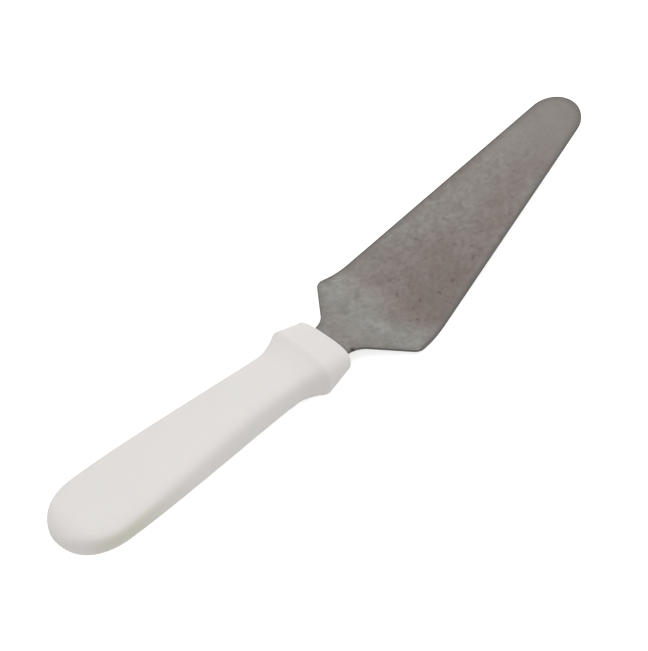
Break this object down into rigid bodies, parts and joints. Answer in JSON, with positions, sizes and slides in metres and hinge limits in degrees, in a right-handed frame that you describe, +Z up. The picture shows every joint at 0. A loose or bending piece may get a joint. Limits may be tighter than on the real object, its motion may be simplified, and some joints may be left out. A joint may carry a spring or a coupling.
{
  "type": "pie server",
  "caption": "Pie server: a tapered steel leaf with a sloping heel, its tang moulded into a plastic handle with a finger guard.",
  "frame": {"origin": "on the table it rests on, under the middle of its length and width", "axes": "+X along its length towards the blade's tip, +Y to its left, +Z up as it lies on a table, resting on the crease and the handle's guard"},
  "size_m": [0.2775, 0.0566, 0.0361],
  "materials": {
    "blade_steel": "satin",
    "handle_plastic": "satin"
  },
  "bodies": {
    "root": {"blade": "blade_steel", "handle": "handle_plastic"}
  },
  "joints": []
}
